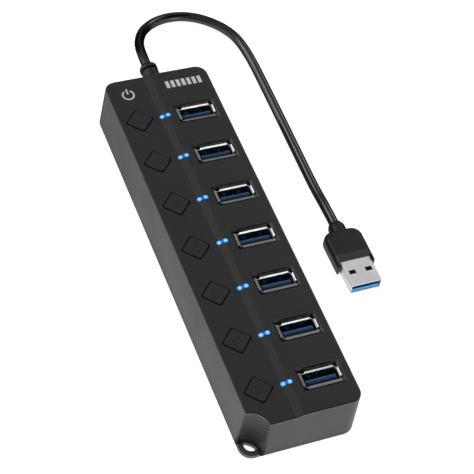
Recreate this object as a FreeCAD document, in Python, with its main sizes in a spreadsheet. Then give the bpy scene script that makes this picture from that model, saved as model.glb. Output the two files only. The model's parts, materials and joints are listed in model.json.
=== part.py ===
"""USB hub with seven upright type A ports, a switch and a light for each, and a fixed cord with a plug.

Frame: millimetres, +Z up. The origin is the centre of the casing's outline, on the surface that the feet
stand on. Y is the long axis: the cord leaves at +Y. The ports are on the +X side, the key caps on the -X side,
and the eyelet tab is at the -X -Y corner.
"""

import FreeCAD, Part

import math
import os
import re

import Sketcher

Vector = FreeCAD.Vector
Placement = FreeCAD.Placement
Rotation = FreeCAD.Rotation

SIZES = {
    # casing
    "casing_width": 41.9,
    "casing_length": 156.0,
    "casing_height": 19.0,
    "casing_corner_radius": 5.2,
    "casing_draft": 2.6,
    "casing_edge_radius": 0.6,
    "wall_thickness": 1.8,
    "base_height": 0.4,
    "roof_underside": 17.0,
    "deck_drop": 0.8,
    "deck_slope_left": -4.5,
    "deck_slope_right": -1.8,
    "fit_gap": 0.15,
    # scooped corner and its eyelet tab
    "scoop_centre_x": -20.0,
    "scoop_centre_y": -77.2,
    "scoop_foot_radius": 5.35,
    "scoop_wall": 1.6,
    "tab_size": 5.9,
    "tab_corner_radius": 4.4,
    "eyelet_radius": 2.5,
    # bottom plate, feet and screws
    "plate_thickness": 1.5,
    "tower_radius": 3.4,
    "post_radius": 1.6,
    "post_column": 16.0,
    "foot_radius": 4.0,
    "foot_thickness": 1.0,
    "foot_column": 13.0,
    "foot_row": 62.0,
    "screw_column": 13.5,
    "screw_row": 71.5,
    "screw_near_left": -6.0,
    "screw_shank_radius": 1.1,
    "screw_head_radius": 2.0,
    "screw_head_height": 1.2,
    "screw_length": 9.0,
    "boss_radius": 2.8,
    # circuit board
    "board_underside": 3.8,
    "board_thickness": 1.6,
    "board_width": 36.0,
    "board_length": 148.0,
    # rows of ports, lights and keys
    "row_count": 7,
    "row_pitch": 20.0,
    "first_row": 55.8,
    # receptacles
    "port_column": 9.4,
    "port_shift": -0.25,
    "port_width": 13.1,
    "port_depth": 5.7,
    "port_tube_height": 12.9,
    "port_tube_radius": 0.7,
    "sheet_thickness": 0.3,
    "lip_reach_near": 1.0,
    "lip_reach_far": 0.95,
    "lip_reach_left": 0.8,
    "lip_reach_right": 0.3,
    "lip_span_near": 12.4,
    "lip_span_far": 10.6,
    "lip_span_left": 5.4,
    "lip_span_right": 3.4,
    "lip_offset": 0.4,
    "lip_top": 13.95,
    "lip_slope": 24.0,
    "lip_slope_right": 40.0,
    "bend_width": 0.35,
    "bend_slope": 57.0,
    "opening_width": 15.7,
    "opening_depth": 9.3,
    "opening_chamfer": 0.85,
    "tongue_width": 11.0,
    "tongue_thickness": 1.84,
    "tongue_offset": -0.64,
    "tongue_top": 12.6,
    "tongue_block_height": 3.0,
    "contact_width": 1.0,
    "contact_thickness": 0.12,
    # keys
    "key_column": -12.5,
    "key_shift": 0.6,
    "key_side": 7.1,
    "key_corner_radius": 0.9,
    "key_gap": 0.4,
    "key_proud": 0.45,
    "key_flange_side": 8.7,
    "key_flange_radius": 1.6,
    "key_flange_thickness": 0.8,
    "key_hollow_side": 5.5,
    "key_top_thickness": 1.3,
    "key_stem_side": 3.0,
    "key_stem_length": 8.0,
    "key_sign_radius": 1.45,
    "key_sign_stroke": 0.36,
    "key_sign_height": 0.12,
    "switch_side": 7.0,
    "switch_height": 5.2,
    "switch_well_side": 3.2,
    "switch_well_depth": 3.8,
    # lights
    "light_column": -2.75,
    "light_shift": 0.4,
    "light_length": 4.3,
    "light_width": 1.7,
    "light_foot": 6.8,
    "light_flange": 0.6,
    "light_proud": 0.06,
    "diode_spacing": 2.3,
    "diode_height": 0.8,
    # chips on the board
    "controller_side": 7.0,
    "controller_height": 0.9,
    # cord, gland and plug
    "cord_radius": 1.9,
    "gland_column": 2.0,
    "gland_height": 11.4,
    "gland_tip": 88.0,
    "plug_column": 46.8,
    "plug_height": 3.3,
    "plug_width": 15.0,
    "plug_thickness": 6.6,
    "plug_soft_radius": 2.3,
    "plug_shoulder_radius": 4.0,
    "plug_back": -0.4,
    "plug_front": -14.4,
    "plug_ear": 2.0,
    "plug_neck_end": 3.6,
    "plug_neck_radius": 3.2,
    "plug_nose": -25.4,
    "plug_shell_width": 12.0,
    "plug_shell_height": 4.5,
    "plug_shell_root": -8.4,
    "plug_slope": 2.8,
    "insulator_height": 1.7,
}

doc = FreeCAD.newDocument("usb_hub")
sheet = doc.addObject("Spreadsheet::Sheet", "Dimensions")
for line, (alias, size) in enumerate(SIZES.items(), start=1):
    sheet.set(f"A{line}", alias)
    sheet.set(f"B{line}", str(size))
    sheet.setAlias(f"B{line}", alias)
probe = doc.addObject("App::FeaturePython", "Probe")
probe.addProperty("App::PropertyFloat", "result")
doc.recompute()

KEPT = []


def linked(expression):
    """The expression with each name of the sheet written as a link to its cell."""

    def link(word):
        return "Dimensions." + word.group() if word.group() in SIZES else word.group()

    return re.sub(r"[a-z]\w+", link, str(expression))


def number(expression):
    """The value of an expression in the sheet's names."""
    probe.setExpression("result", linked(expression))
    probe.recompute()
    return probe.result


def bind(thing, **properties):
    """Ties properties of an object to expressions; a double underscore stands for a dot."""
    for name, expression in properties.items():
        thing.setExpression(name.replace("__", "."), linked(expression))


def place(thing, x=0, y=0, z=0, turn=0):
    """Ties an object's position to expressions, and turns it about Z by a plain angle."""
    thing.Placement = Placement(Vector(0, 0, 0), Rotation(Vector(0, 0, 1), turn))
    bind(thing, Placement__Base__x=x, Placement__Base__y=y, Placement__Base__z=z)


def keep(thing, label):
    """Marks an object as a sub-part of the hub, written to a file of its own."""
    thing.Label = label
    KEPT.append(thing)
    return thing


def row(index):
    """The expression for the Y of one row, the first being the farthest."""
    return f"first_row - {index} * row_pitch"


# Sketch helpers --------------------------------------------------------------------------------------------------


def sketch(body, name, plane="XY_Plane", x=0, y=0, z=0, turn=0):
    """A sketch on one of the body's origin planes, moved by expressions along the plane's axes and turned."""
    made = body.newObject("Sketcher::SketchObject", name)
    made.AttachmentSupport = [([f for f in body.Origin.OriginFeatures if f.Role == plane][0], "")]
    made.MapMode = "FlatFace"
    made.AttachmentOffset = Placement(Vector(0, 0, 0), Rotation(Vector(0, 0, 1), turn))
    bind(made, AttachmentOffset__Base__x=x, AttachmentOffset__Base__y=y, AttachmentOffset__Base__z=z)
    return made


def fix(made, name, kind, *where_and_value):
    """Adds one constraint whose value is an expression."""
    *where, expression = where_and_value
    at = made.addConstraint(Sketcher.Constraint(kind, *where, number(expression)))
    made.renameConstraint(at, name)
    made.setExpression("Constraints." + name, linked(expression))


def fix_point(made, name, geometry, end, x, y):
    """Fixes one end of a curve at a point given by two expressions."""
    fix(made, name + "_x", "DistanceX", -1, 1, geometry, end, x)
    fix(made, name + "_y", "DistanceY", -1, 1, geometry, end, y)


def add_circle(made, name, radius, x="0", y="0"):
    centre = Vector(number(x), number(y), 0)
    circle = made.addGeometry(Part.Circle(centre, Vector(0, 0, 1), number(radius)))
    fix(made, name + "_radius", "Radius", circle, radius)
    fix_point(made, name, circle, 3, x, y)


def add_polygon(made, name, corners):
    """A closed outline of straight lines through points given as pairs of expressions."""
    points = [Vector(number(x), number(y), 0) for x, y in corners]
    count = len(points)
    lines = [made.addGeometry(Part.LineSegment(points[i], points[(i + 1) % count])) for i in range(count)]
    for i, (x, y) in enumerate(corners):
        made.addConstraint(Sketcher.Constraint("Coincident", lines[i], 2, lines[(i + 1) % count], 1))
        fix_point(made, f"{name}_{i}", lines[i], 1, x, y)


def add_rectangle(made, name, width, depth, x="0", y="0"):
    """A plain rectangle round a centre."""
    left, right = f"({x}) - ({width}) / 2", f"({x}) + ({width}) / 2"
    front, back = f"({y}) - ({depth}) / 2", f"({y}) + ({depth}) / 2"
    add_polygon(made, name, [(left, front), (right, front), (right, back), (left, back)])


def arc(centre, radius, start, end):
    return Part.ArcOfCircle(Part.Circle(centre, Vector(0, 0, 1), radius), start, end)


def add_rounded_rectangle(made, name, width, depth, radius, scoop=None):
    """A rectangle with rounded corners round the sketch's origin.

    With scoop = (x, y, radius) its lower left corner is cut away by a circle about that point instead.
    """
    half_x, half_y, r = number(f"({width}) / 2"), number(f"({depth}) / 2"), number(radius)
    front_start, left_end = Vector(-half_x + r, -half_y, 0), Vector(-half_x, -half_y + r, 0)
    corner = arc(Vector(-half_x + r, -half_y + r, 0), r, math.pi, 1.5 * math.pi)
    if scoop:
        scoop_x, scoop_y, scoop_r = (number(expression) for expression in scoop)
        centre = Vector(scoop_x, scoop_y, 0)
        front_start = Vector(scoop_x + math.sqrt(scoop_r**2 - (half_y + scoop_y) ** 2), -half_y, 0)
        left_end = Vector(-half_x, scoop_y + math.sqrt(scoop_r**2 - (half_x + scoop_x) ** 2), 0)
        first, last = (math.atan2(*reversed((point - centre)[:2])) for point in (front_start, left_end))
        corner = arc(centre, scoop_r, first, last)
    turn = math.pi / 2
    front = made.addGeometry(Part.LineSegment(front_start, Vector(half_x - r, -half_y, 0)))
    front_right = made.addGeometry(arc(Vector(half_x - r, -half_y + r, 0), r, -turn, 0))
    right = made.addGeometry(Part.LineSegment(Vector(half_x, -half_y + r, 0), Vector(half_x, half_y - r, 0)))
    back_right = made.addGeometry(arc(Vector(half_x - r, half_y - r, 0), r, 0, turn))
    back = made.addGeometry(Part.LineSegment(Vector(half_x - r, half_y, 0), Vector(-half_x + r, half_y, 0)))
    back_left = made.addGeometry(arc(Vector(-half_x + r, half_y - r, 0), r, turn, 2 * turn))
    left = made.addGeometry(Part.LineSegment(Vector(-half_x, half_y - r, 0), left_end))
    front_left = made.addGeometry(corner)
    loop = [front, front_right, right, back_right, back, back_left, left]
    for first, second in zip(loop, loop[1:]):
        made.addConstraint(Sketcher.Constraint("Tangent", first, 2, second, 1))
    for flat, direction in ((front, "Horizontal"), (back, "Horizontal"), (right, "Vertical"), (left, "Vertical")):
        made.addConstraint(Sketcher.Constraint(direction, flat))
    for other in (back_right, back_left):
        made.addConstraint(Sketcher.Constraint("Equal", front_right, other))
    if scoop:
        made.addConstraint(Sketcher.Constraint("Coincident", left, 2, front_left, 2))
        made.addConstraint(Sketcher.Constraint("Coincident", front, 1, front_left, 1))
        fix_point(made, name + "_scoop", front_left, 3, scoop[0], scoop[1])
        fix(made, name + "_scoop_radius", "Radius", front_left, scoop[2])
    else:
        made.addConstraint(Sketcher.Constraint("Tangent", left, 2, front_left, 1))
        made.addConstraint(Sketcher.Constraint("Tangent", front_left, 2, front, 1))
        made.addConstraint(Sketcher.Constraint("Equal", front_right, front_left))
    fix(made, name + "_radius", "Radius", front_right, radius)
    fix(made, name + "_front", "DistanceY", -1, 1, front, 2, f"-({depth}) / 2")
    fix(made, name + "_back", "DistanceY", -1, 1, back, 1, f"({depth}) / 2")
    fix(made, name + "_right", "DistanceX", -1, 1, right, 1, f"({width}) / 2")
    fix(made, name + "_left", "DistanceX", -1, 1, left, 1, f"-({width}) / 2")


def add_slot(made, name, length, width):
    """An oblong with round ends along X, round the sketch's origin."""
    radius, reach = number(f"({width}) / 2"), number(f"(({length}) - ({width})) / 2")
    turn = math.pi / 2
    front = made.addGeometry(Part.LineSegment(Vector(-reach, -radius, 0), Vector(reach, -radius, 0)))
    right = made.addGeometry(arc(Vector(reach, 0, 0), radius, -turn, turn))
    back = made.addGeometry(Part.LineSegment(Vector(reach, radius, 0), Vector(-reach, radius, 0)))
    left = made.addGeometry(arc(Vector(-reach, 0, 0), radius, turn, 3 * turn))
    for first, second in ((front, right), (right, back), (back, left), (left, front)):
        made.addConstraint(Sketcher.Constraint("Tangent", first, 2, second, 1))
    fix_point(made, name + "_right", right, 3, f"(({length}) - ({width})) / 2", "0")
    fix_point(made, name + "_left", left, 3, f"-(({length}) - ({width})) / 2", "0")
    fix(made, name + "_radius", "Radius", right, f"({width}) / 2")


def add_lens(made, name, first_circle, second_circle):
    """The outline that two overlapping circles, each (x, y, radius), have in common."""
    (ax, ay, ar), (bx, by, br) = ([number(e) for e in circle] for circle in (first_circle, second_circle))
    gap = math.hypot(bx - ax, by - ay)
    along = (gap**2 + ar**2 - br**2) / (2 * gap)
    across = math.sqrt(ar**2 - along**2)
    ux, uy = (bx - ax) / gap, (by - ay) / gap
    low = Vector(ax + along * ux + across * uy, ay + along * uy - across * ux, 0)
    high = Vector(ax + along * ux - across * uy, ay + along * uy + across * ux, 0)

    def angle(point, x, y):
        return math.atan2(point.y - y, point.x - x)

    one = made.addGeometry(arc(Vector(ax, ay, 0), ar, angle(low, ax, ay), angle(high, ax, ay)))
    two = made.addGeometry(arc(Vector(bx, by, 0), br, angle(high, bx, by), angle(low, bx, by)))
    made.addConstraint(Sketcher.Constraint("Coincident", one, 2, two, 1))
    made.addConstraint(Sketcher.Constraint("Coincident", two, 2, one, 1))
    for label, curve, circle in (("one", one, first_circle), ("two", two, second_circle)):
        fix_point(made, f"{name}_{label}", curve, 3, circle[0], circle[1])
        fix(made, f"{name}_{label}_radius", "Radius", curve, circle[2])


# Feature helpers -------------------------------------------------------------------------------------------------


def new_body(name):
    return doc.addObject("PartDesign::Body", name)


def pad(body, name, profile, length, reverse=False, both=False, taper=None):
    """Adds material along the sketch's normal. A positive taper narrows the pad as it rises."""
    made = body.newObject("PartDesign::Pad", name)
    made.Profile = profile
    made.Reversed = reverse
    if both:
        made.SideType = "Symmetric"
    bind(made, Length=length)
    if taper:
        bind(made, TaperAngle=f"-({taper})")
    return made


def pocket(body, name, profile, length=None, upward=False, both=False, taper=None):
    """Removes material below the sketch, above it with upward, or to both sides when no length is given.

    A positive taper narrows the pocket as it goes in.
    """
    made = body.newObject("PartDesign::Pocket", name)
    made.Profile = profile
    made.Reversed = upward
    if length is None:
        made.Type = "ThroughAll"
        made.SideType = "Symmetric"
    else:
        bind(made, Length=length)
    if both:
        made.SideType = "Symmetric"
    if taper:
        bind(made, TaperAngle=f"-({taper})")
    return made


def turn_about_y(body, name, profile, column, height):
    """Turns a profile drawn on the YZ plane about the line along Y at one X and one height."""
    axis = sketch(body, f"{name}_axis", "YZ_Plane", z=column)
    start, finish = Vector(0, number(height), 0), Vector(number("casing_length"), number(height), 0)
    line = axis.addGeometry(Part.LineSegment(start, finish))
    fix_point(axis, "start", line, 1, "0", height)
    fix_point(axis, "finish", line, 2, "casing_length", height)
    made = body.newObject("PartDesign::Revolution", name)
    made.Profile = profile
    made.ReferenceAxis = (axis, ["Edge1"])
    made.Angle = 360
    return made


def edge_names(shape, wanted):
    """The names of the edges whose middle point passes a test."""
    names = []
    for at, edge in enumerate(shape.Edges, start=1):
        middle = edge.valueAt((edge.FirstParameter + edge.LastParameter) / 2)
        if wanted(edge, middle):
            names.append(f"Edge{at}")
    return names


def round_edges(body, name, base, radius, wanted, kind="Fillet"):
    """Rounds or chamfers the edges of the base feature that pass a test."""
    doc.recompute()
    made = body.newObject("PartDesign::" + kind, name)
    made.Base = (base, edge_names(base.Shape, wanted))
    bind(made, **{"Radius" if kind == "Fillet" else "Size": radius})
    return made


def repeat_rows(body, name, features):
    """Repeats features at every row, towards -Y."""
    doc.recompute()
    made = body.newObject("PartDesign::LinearPattern", name)
    made.Originals = features
    made.Direction = ([f for f in body.Origin.OriginFeatures if f.Role == "Y_Axis"][0], [""])
    made.Reversed = True
    bind(made, Length="row_pitch * (row_count - 1)", Occurrences="row_count")
    body.Tip = made
    return made


def box(name, width, depth, height, x, y, z):
    """A plain block, centred at x and y and standing on z."""
    made = doc.addObject("Part::Box", name)
    bind(made, Length=width, Width=depth, Height=height)
    place(made, f"({x}) - ({width}) / 2", f"({y}) - ({depth}) / 2", z)
    return made


def cylinder(name, radius, height, x, y, z):
    made = doc.addObject("Part::Cylinder", name)
    bind(made, Radius=radius, Height=height)
    place(made, x, y, z)
    return made


def group(name, pieces):
    """Several separate solids kept together in one sub-part."""
    made = doc.addObject("Part::Compound", name)
    made.Links = pieces
    return keep(made, name)


SCREWS = {
    "far_left": ("-screw_column", "screw_row"),
    "far_right": ("screw_column", "screw_row"),
    "near_right": ("screw_column", "-screw_row - 1"),
    "near_left": ("screw_near_left", "-screw_row - 1"),
}
BOARD_TOP = "(board_underside + board_thickness)"
CASING_TOP = "(base_height + casing_height)"
INNER_WIDTH = "(casing_width - 2 * wall_thickness)"
INNER_LENGTH = "(casing_length - 2 * wall_thickness)"
INNER_RADIUS = "(casing_corner_radius - wall_thickness)"


# Casing ----------------------------------------------------------------------------------------------------------


def add_deck_step(made, raised="0"):
    """The outline, seen from the front, of the air above the two-level top face, lifted by an expression."""
    far, over = "-(casing_width)", f"{CASING_TOP} + 10"
    high, low = f"{CASING_TOP} + {raised}", f"{CASING_TOP} - deck_drop + {raised}"
    corners = [(far, low), ("deck_slope_left", low), ("deck_slope_right", high)]
    add_polygon(made, "step", corners + [("casing_width", high), ("casing_width", over), (far, over)])


def make_top_shell():
    body = new_body("top_shell")
    outline = sketch(body, "casing_outline", z="base_height")
    add_rounded_rectangle(outline, "casing", "casing_width", "casing_length", "casing_corner_radius")
    block = pad(body, "casing_block", outline, "casing_height", taper="casing_draft")
    scoop = sketch(body, "scoop_outline", x="scoop_centre_x", y="scoop_centre_y", z="base_height")
    add_circle(scoop, "scoop", "scoop_foot_radius")
    pocket(body, "scooped_corner", scoop, "casing_height + 5", upward=True, taper="-casing_draft")
    step = sketch(body, "deck_step_outline", "XZ_Plane")
    add_deck_step(step)
    stepped = pocket(body, "two_level_deck", step)
    doc.recompute()

    def on_top_rim(edge, middle):
        high = middle.z > number(f"{CASING_TOP} - deck_drop - 0.05")
        reach_x, reach_y = number("casing_width / 2 - 1.5"), number("casing_length / 2 - 1.5")
        inside = abs(middle.x) < reach_x and abs(middle.y) < reach_y
        reach = math.hypot(middle.x - number("scoop_centre_x"), middle.y - number("scoop_centre_y"))
        return high and (not inside or reach < number("scoop_foot_radius + 1.5"))

    round_edges(body, "rounded_rim", stepped, "casing_edge_radius", on_top_rim)

    hollow = sketch(body, "hollow_outline", z="base_height")
    scoop_wall = ("scoop_centre_x", "scoop_centre_y", "scoop_foot_radius + scoop_wall")
    add_rounded_rectangle(hollow, "hollow", INNER_WIDTH, INNER_LENGTH, INNER_RADIUS, scoop=scoop_wall)
    pocket(body, "hollow", hollow, "roof_underside - base_height", upward=True, taper="casing_draft")

    under_scoop = sketch(body, "under_scoop_outline", z="base_height")
    reach = "(scoop_foot_radius + scoop_wall + 1)"
    left, front = f"(-{INNER_WIDTH} / 2)", f"(-{INNER_LENGTH} / 2)"
    corners = [(left, front), (f"{left} + {reach}", front), (f"{left} + {reach}", f"{front} + {reach}")]
    add_polygon(under_scoop, "under_scoop", corners + [(left, f"{front} + {reach}")])
    pocket(body, "plate_way_under_scoop", under_scoop, "plate_thickness + fit_gap", upward=True)

    port = sketch(body, "port_opening_outline", x="port_column", y="first_row", z=CASING_TOP)
    narrow = "- 2 * opening_chamfer"
    add_rectangle(port, "port", f"opening_width {narrow}", f"opening_depth {narrow}")
    port_opening = pocket(body, "port_opening", port, "casing_height / 2")
    mouth = sketch(body, "port_mouth_outline", x="port_column", y="first_row", z=CASING_TOP)
    add_rectangle(mouth, "mouth", "opening_width", "opening_depth")
    port_mouth = pocket(body, "port_mouth", mouth, "opening_chamfer", taper="45")
    light = sketch(body, "light_opening_outline", x="light_column", y="first_row + light_shift", z=CASING_TOP)
    add_slot(light, "light", "light_length + 0.1", "light_width + 0.1")
    light_opening = pocket(body, "light_opening", light, "casing_height / 2")
    key = sketch(body, "key_opening_outline", x="key_column", y="first_row + key_shift", z=CASING_TOP, turn=45)
    key_way = "key_side + 2 * key_gap"
    add_rounded_rectangle(key, "key", key_way, key_way, "key_corner_radius")
    key_opening = pocket(body, "key_opening", key, "casing_height / 2")
    repeat_rows(body, "rows", [port_opening, port_mouth, light_opening, key_opening])

    far_end = "-casing_length / 2"
    gland = sketch(body, "gland_hole_outline", "XZ_Plane", x="gland_column", y="gland_height", z=far_end)
    add_circle(gland, "gland", "3.35")
    pocket(body, "gland_hole", gland, "8", upward=True)
    bosses = sketch(body, "boss_outlines", z=BOARD_TOP)
    for name, (x, y) in SCREWS.items():
        add_circle(bosses, name, "boss_radius", x, y)
    pad(body, "screw_bosses", bosses, f"roof_underside - {BOARD_TOP} + 0.5")
    pilots = sketch(body, "pilot_outlines", z=BOARD_TOP)
    for name, (x, y) in SCREWS.items():
        add_circle(pilots, name, "screw_shank_radius", x, y)
    pocket(body, "screw_pilots", pilots, "8", upward=True)
    return keep(body, "top_shell")


def make_bottom_plate():
    body = new_body("bottom_plate")
    outline = sketch(body, "plate_outline", z="base_height")
    narrow = "- 2 * fit_gap"
    add_rounded_rectangle(
        outline, "plate", f"{INNER_WIDTH} {narrow}", f"{INNER_LENGTH} {narrow}", f"{INNER_RADIUS} - fit_gap"
    )
    pad(body, "plate", outline, "plate_thickness")
    tab = sketch(
        body, "tab_outline", x="(tab_size - casing_width) / 2", y="(tab_size - casing_length) / 2", z="base_height"
    )
    add_rectangle(tab, "tab", "tab_size", "tab_size")
    tab_pad = pad(body, "eyelet_tab", tab, "plate_thickness")

    def at_outer_corner(edge, middle):
        outer_x, outer_y = number("1 - casing_width / 2"), number("1 - casing_length / 2")
        return middle.x < outer_x and middle.y < outer_y and edge.BoundBox.ZLength > 1

    round_edges(body, "round_tab_corner", tab_pad, "tab_corner_radius", at_outer_corner)
    eyelet = sketch(body, "eyelet_outline", z="base_height")
    corner = ("tab_corner_radius - casing_width / 2", "tab_corner_radius - casing_length / 2", "eyelet_radius")
    add_lens(eyelet, "eyelet", ("scoop_centre_x", "scoop_centre_y", "scoop_foot_radius - 0.3"), corner)
    pocket(body, "eyelet", eyelet)

    towers = sketch(body, "tower_outlines", z="base_height")
    for name, (x, y) in SCREWS.items():
        add_circle(towers, name, "tower_radius", x, y)
    pad(body, "screw_towers", towers, "board_underside - base_height")
    posts = sketch(body, "post_outlines", z="base_height")
    for side, column in (("left", "-post_column"), ("right", "post_column")):
        for name, rows_down in (("far", 0.5), ("middle", 2.5), ("near", 4.5)):
            add_circle(posts, f"{side}_{name}", "post_radius", column, row(rows_down))
    pad(body, "board_posts", posts, "board_underside - base_height")
    heads = sketch(body, "screw_head_outlines", z="base_height")
    shanks = sketch(body, "screw_shank_outlines", z="base_height")
    for name, (x, y) in SCREWS.items():
        add_circle(heads, name, "screw_head_radius + 0.2", x, y)
        add_circle(shanks, name, "screw_shank_radius + 0.15", x, y)
    pocket(body, "screw_head_wells", heads, "screw_head_height + 0.4", upward=True)
    pocket(body, "screw_shank_ways", shanks, "board_underside", upward=True)
    feet = sketch(body, "foot_wells", z="base_height")
    for x_sign in ("", "-"):
        for y_sign in ("", "-"):
            name = "foot" + ("_left" if x_sign else "_right") + ("_near" if y_sign else "_far")
            add_circle(feet, name, "foot_radius + 0.1", f"{x_sign}foot_column", f"{y_sign}foot_row")
    pocket(body, "foot_wells_cut", feet, "foot_thickness - base_height", upward=True)
    return keep(body, "bottom_plate")


def make_feet():
    pieces = []
    for x_sign in ("", "-"):
        for y_sign in ("", "-"):
            name = f"foot_{len(pieces) + 1}"
            at = (f"{x_sign}foot_column", f"{y_sign}foot_row", "0")
            pieces.append(cylinder(name, "foot_radius", "foot_thickness", *at))
    group("rubber_feet", pieces)


def make_case_screws():
    """Four pan-head screws driven up from below, each with a cross recess."""
    pieces = []
    for name, (x, y) in SCREWS.items():
        shank_foot = "base_height + screw_head_height + 0.4"
        shank = cylinder(f"shank_{name}", "screw_shank_radius", "screw_length", x, y, shank_foot)
        head = cylinder(f"head_{name}", "screw_head_radius", "screw_head_height", x, y, "base_height + 0.4")
        screw = doc.addObject("Part::MultiFuse", f"blank_{name}")
        screw.Shapes = [shank, head]
        slots = doc.addObject("Part::MultiFuse", f"cross_{name}")
        slots.Shapes = [
            box(f"cross_a_{name}", "2.4", "0.5", "0.8", x, y, "base_height + 0.2"),
            box(f"cross_b_{name}", "0.5", "2.4", "0.8", x, y, "base_height + 0.2"),
        ]
        cut = doc.addObject("Part::Cut", f"screw_{name}")
        cut.Base, cut.Tool = screw, slots
        pieces.append(cut)
    group("case_screws", pieces)


# Circuit board and what is soldered to it ------------------------------------------------------------------------


def make_circuit_board():
    body = new_body("circuit_board")
    outline = sketch(body, "board_outline", z="board_underside")
    scoop = ("scoop_centre_x", "scoop_centre_y", "scoop_foot_radius + scoop_wall + 1.2")
    add_rounded_rectangle(outline, "board", "board_width", "board_length", "1", scoop=scoop)
    pad(body, "board", outline, "board_thickness")
    holes = sketch(body, "board_holes", z="board_underside")
    for name, (x, y) in SCREWS.items():
        add_circle(holes, name, "screw_shank_radius + 0.2", x, y)
    pocket(body, "screw_ways", holes, "board_thickness + 1", upward=True)
    slots = sketch(body, "leg_slots", x="port_column", y="first_row + port_shift", z="board_underside")
    for name, side in (("left", "-"), ("right", "")):
        add_rectangle(slots, name, "sheet_thickness + 0.2", "1.8", x=f"{side}(port_width - sheet_thickness) / 2")
    leg_slots = pocket(body, "receptacle_leg_slots", slots, "board_thickness + 1", upward=True)
    repeat_rows(body, "leg_slot_rows", [leg_slots])
    return keep(body, "circuit_board")


def make_port_shell(index):
    """A folded steel tube with a flared lip on each side, a spring finger pair on each long wall and two legs."""
    label = f"port_shell_{index + 1}"
    body = new_body(label)
    tube = sketch(body, f"{label}_tube")
    add_rounded_rectangle(tube, "outer", "port_width", "port_depth", "port_tube_radius")
    bore = "- 2 * sheet_thickness"
    inner_radius = "port_tube_radius - sheet_thickness"
    add_rounded_rectangle(tube, "inner", f"port_width {bore}", f"port_depth {bore}", inner_radius)
    pad(body, f"{label}_wall", tube, "port_tube_height")

    def lip(half, reach, slope="lip_slope", bend=None):
        """The section of one lip from the wall's mouth outwards; with a bend it first rises more steeply."""
        inner, foot = f"({half} - sheet_thickness)", "(port_tube_height - 0.2)"
        fold, tip = f"({inner} + {bend or 0})", f"({half} + {reach})"
        high = f"(lip_top - ({tip} - {fold}) * tan({slope}))"
        low = f"({high} - {bend} * tan(bend_slope))" if bend else high
        under = [(inner, foot), (half, foot), (half, f"{low} - 0.1")]
        if bend:
            under.append((f"{fold} + 0.2", f"{high} - 0.24"))
        upper = [(f"{tip} + 0.06", "lip_top - 0.26"), (tip, "lip_top"), (fold, high)]
        return under + upper + ([(inner, low)] if bend else [])

    def mirrored(points):
        return [(f"-({x})", y) for x, y in reversed(points)]

    half_x, half_y = "(port_width / 2)", "(port_depth / 2)"
    right = lip(half_x, "lip_reach_right", "lip_slope_right", "bend_width")
    left = mirrored(lip(half_x, "lip_reach_left"))
    far = lip(half_y, "lip_reach_far", bend="bend_width")
    near = mirrored(lip(half_y, "lip_reach_near"))
    for name, plane, offset, points in (
        ("right", "XZ_Plane", "0", right),
        ("left", "XZ_Plane", "-lip_offset / 2", left),
        ("far", "YZ_Plane", "lip_offset", far),
        ("near", "YZ_Plane", "lip_offset", near),
    ):
        section = sketch(body, f"{label}_lip_section_{name}", plane, z=offset)
        add_polygon(section, name, points)
        pad(body, f"{label}_lip_{name}", section, f"lip_span_{name}", both=True)

    bulge, inner = 0.42, "(port_depth / 2 - sheet_thickness)"
    finger = [(inner, "7.2"), (inner, "11.4"), (f"{inner} - {bulge}", "10.4"), (f"{inner} - {bulge}", "9.8")]
    fingers = sketch(body, f"{label}_finger_section", "YZ_Plane", z="-2.8")
    add_polygon(fingers, "plus", [(f"{y} + 0.05" if y == inner else y, z) for y, z in finger])
    finger_pad = pad(body, f"{label}_fingers", fingers, "1.3", both=True)
    doc.recompute()
    mirror = body.newObject("PartDesign::Mirrored", f"{label}_finger_pair")
    mirror.Originals = [finger_pad]
    mirror.MirrorPlane = ([f for f in body.Origin.OriginFeatures if f.Role == "YZ_Plane"][0], [""])
    body.Tip = mirror
    legs = sketch(body, f"{label}_leg_outlines")
    for name, side in (("left", "-"), ("right", "")):
        add_rectangle(legs, name, "sheet_thickness", "1.6", x=f"{side}(port_width - sheet_thickness) / 2")
    pad(body, f"{label}_legs", legs, "board_thickness + 0.8", reverse=True)
    place(body, "port_column", f"{row(index)} + port_shift", BOARD_TOP)
    return keep(body, label)


def make_port_tongue(index):
    """The plastic block at the bottom of a receptacle, with the tongue that carries the contacts."""
    label = f"port_tongue_{index + 1}"
    body = new_body(label)
    block = sketch(body, f"{label}_block_outline", z="0.05")
    bore = "- 2 * sheet_thickness - 0.2"
    add_rounded_rectangle(block, "block", f"port_width {bore}", f"port_depth {bore}", "0.5")
    pad(body, f"{label}_block", block, "tongue_block_height")
    tongue = sketch(body, f"{label}_outline", y="tongue_offset", z="0.05")
    add_rectangle(tongue, "tongue", "tongue_width", "tongue_thickness")
    blade = pad(body, f"{label}_blade", tongue, "tongue_top")

    def at_tip(edge, middle):
        return middle.z > number("tongue_top") and edge.BoundBox.XLength > 5

    round_edges(body, f"{label}_tip", blade, "0.42", at_tip, kind="Chamfer")
    place(body, "port_column", f"{row(index)} + port_shift", BOARD_TOP)
    return keep(body, label)


def make_port_contacts(index):
    """Four flat contacts near the tongue's tip and five short ones near its root."""
    face = f"{row(index)} + port_shift + tongue_offset + (tongue_thickness + contact_thickness) / 2"
    pieces = []
    for at in (-3.5, -1.0, 1.0, 3.5):
        name = f"flat_contact_{index + 1}_{len(pieces) + 1}"
        where = (f"port_column + {at}", face, f"{BOARD_TOP} + 6.4")
        pieces.append(box(name, "contact_width", "contact_thickness", "5", *where))
    for at in (-4.0, -2.0, 0.0, 2.0, 4.0):
        name = f"deep_contact_{index + 1}_{len(pieces) + 1}"
        where = (f"port_column + {at}", face, f"{BOARD_TOP} + 3.4")
        pieces.append(box(name, "0.6 * contact_width", "contact_thickness", "2.6", *where))
    group(f"port_contacts_{index + 1}", pieces)


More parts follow.
